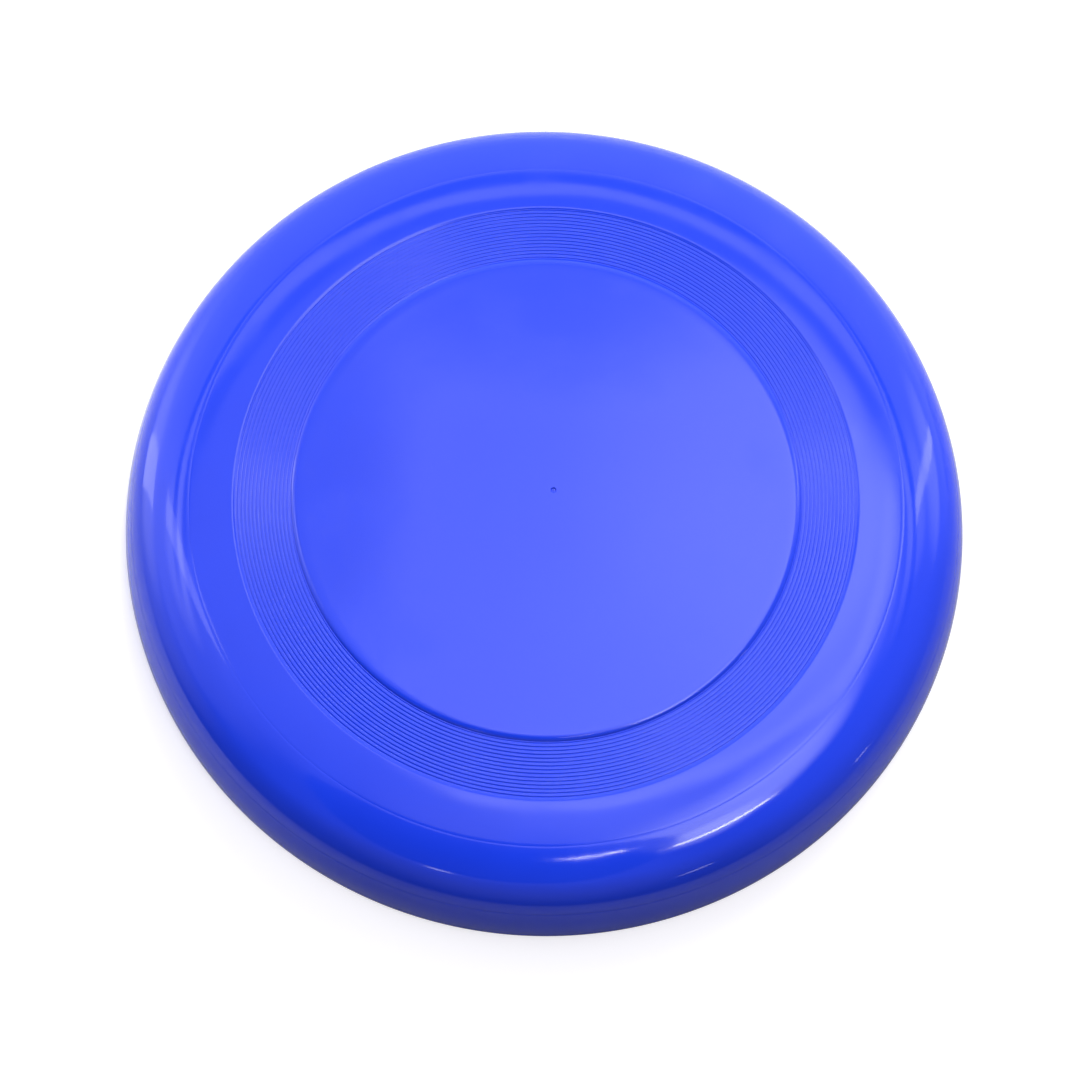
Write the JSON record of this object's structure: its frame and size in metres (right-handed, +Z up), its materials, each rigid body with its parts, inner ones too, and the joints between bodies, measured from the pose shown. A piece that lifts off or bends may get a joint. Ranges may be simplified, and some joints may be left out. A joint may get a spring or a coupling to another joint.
{
  "type": "flying disc",
  "caption": "Round one-piece plastic flying disc with a raised centre panel, a band of fine concentric grooves and a deep rolled rim, hollow underneath.",
  "frame": {"origin": "on the disc's axis, level with the foot of the rim", "axes": "+Z up along the disc's axis, out of the face with the grooves"},
  "size_m": [0.23, 0.23, 0.025],
  "materials": {
    "blue_gloss_polypropylene": "glossy moulded polypropylene, ultramarine blue right through"
  },
  "bodies": {
    "root": {"centre_panel": "blue_gloss_polypropylene", "groove_band": "blue_gloss_polypropylene", "shoulder": "blue_gloss_polypropylene", "rim_crown": "blue_gloss_polypropylene", "rim_wall": "blue_gloss_polypropylene"}
  },
  "joints": []
}
